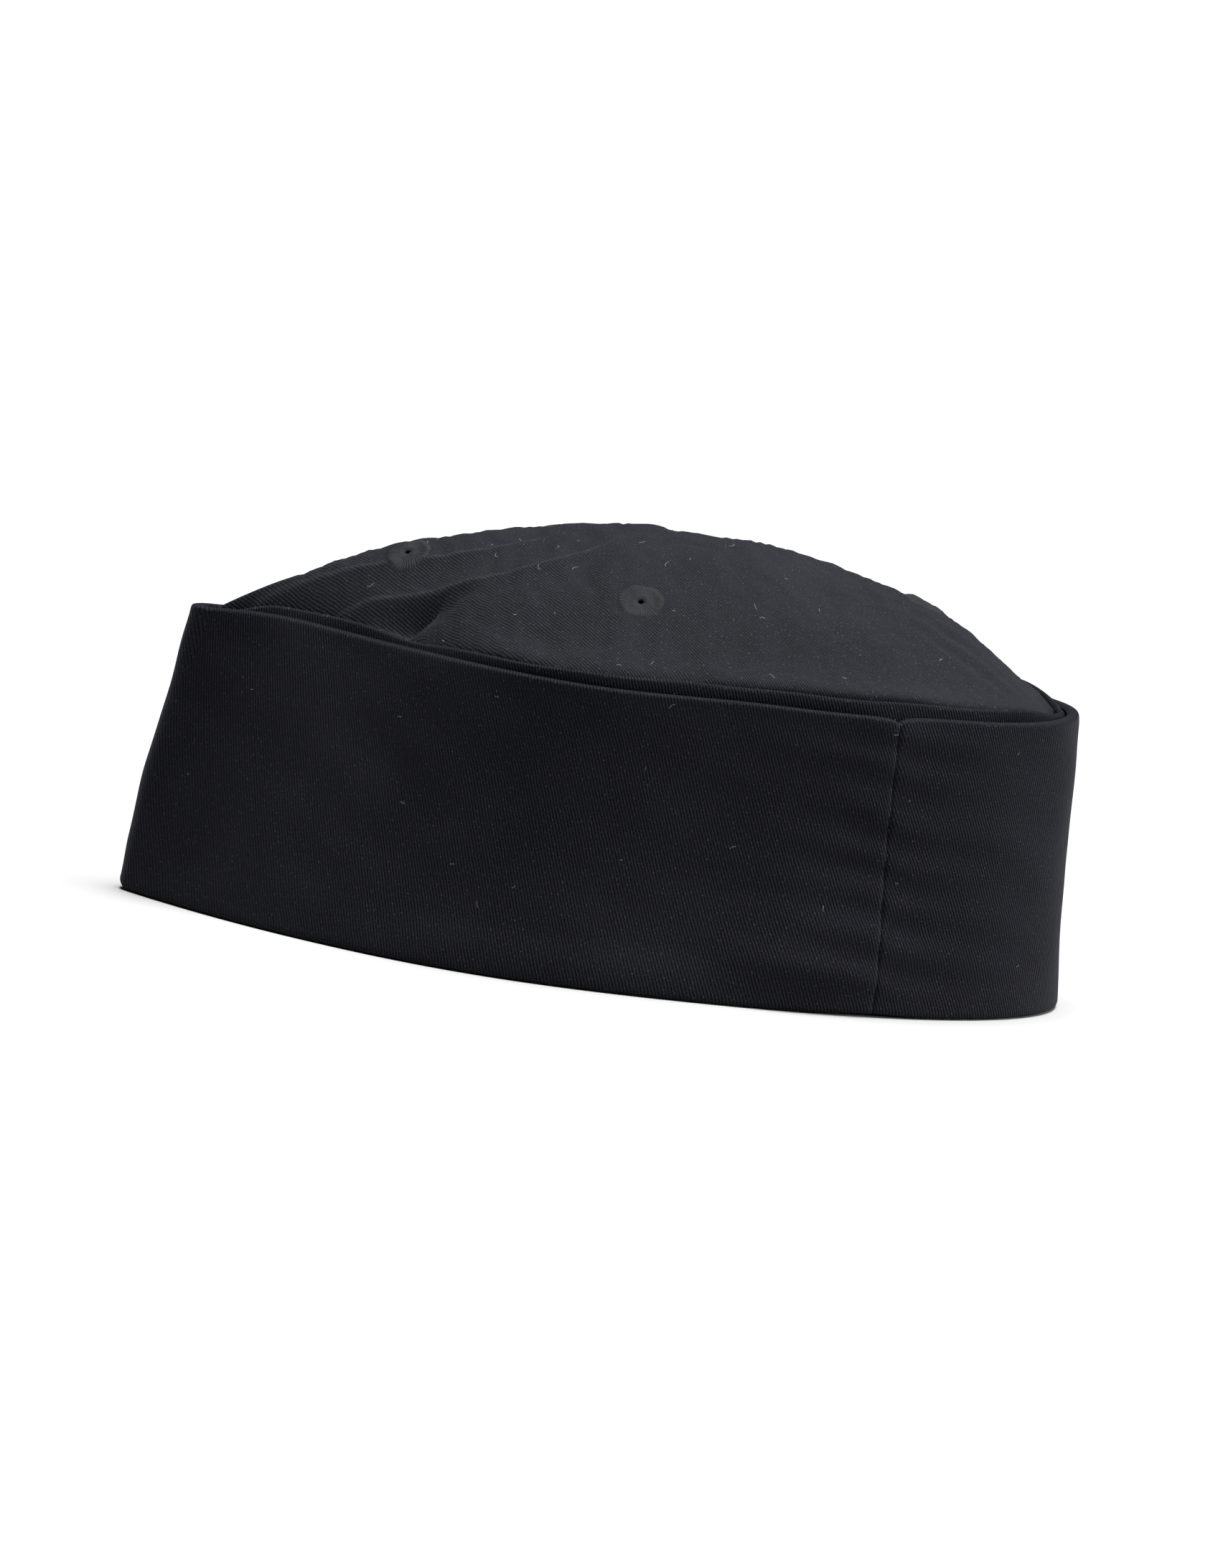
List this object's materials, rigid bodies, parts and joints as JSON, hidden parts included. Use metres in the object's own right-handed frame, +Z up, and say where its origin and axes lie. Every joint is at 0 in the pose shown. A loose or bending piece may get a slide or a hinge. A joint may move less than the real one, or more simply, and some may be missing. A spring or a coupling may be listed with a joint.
{
  "type": "chef cap",
  "caption": "Low soft chef's cap with a turned-up cuff, a domed crown with embroidered vent eyelets, and a sweatband with a back elastic.",
  "frame": {"origin": "middle of the cap's bottom edge, on the surface it rests on", "axes": "+X to the back of the cap, -Y to the wearer's left, +Z up to the crown"},
  "size_m": [0.2402, 0.148, 0.1068],
  "materials": {
    "black_twill": "matte twill, faint blue-black",
    "interlining": "felted, matte",
    "embroidery_thread": "soft satin sheen",
    "sweatband_cotton": "matte",
    "elastic": "ribbed, matte",
    "label_satin": "satin"
  },
  "bodies": {
    "root": {"cuff_front_panel": "black_twill", "cuff_back_panel": "black_twill", "cuff_front_stiffener": "interlining", "cuff_back_stiffener": "interlining", "side_wall_left": "black_twill", "side_wall_right": "black_twill", "crown_panel": "black_twill", "eyelet_front": "embroidery_thread", "eyelet_left": "embroidery_thread", "eyelet_back": "embroidery_thread", "eyelet_right": "embroidery_thread", "sweatband": "sweatband_cotton", "elastic_casing": "sweatband_cotton", "back_elastic": "elastic", "crown_seam_tape": "sweatband_cotton", "care_label": "label_satin"}
  },
  "joints": []
}
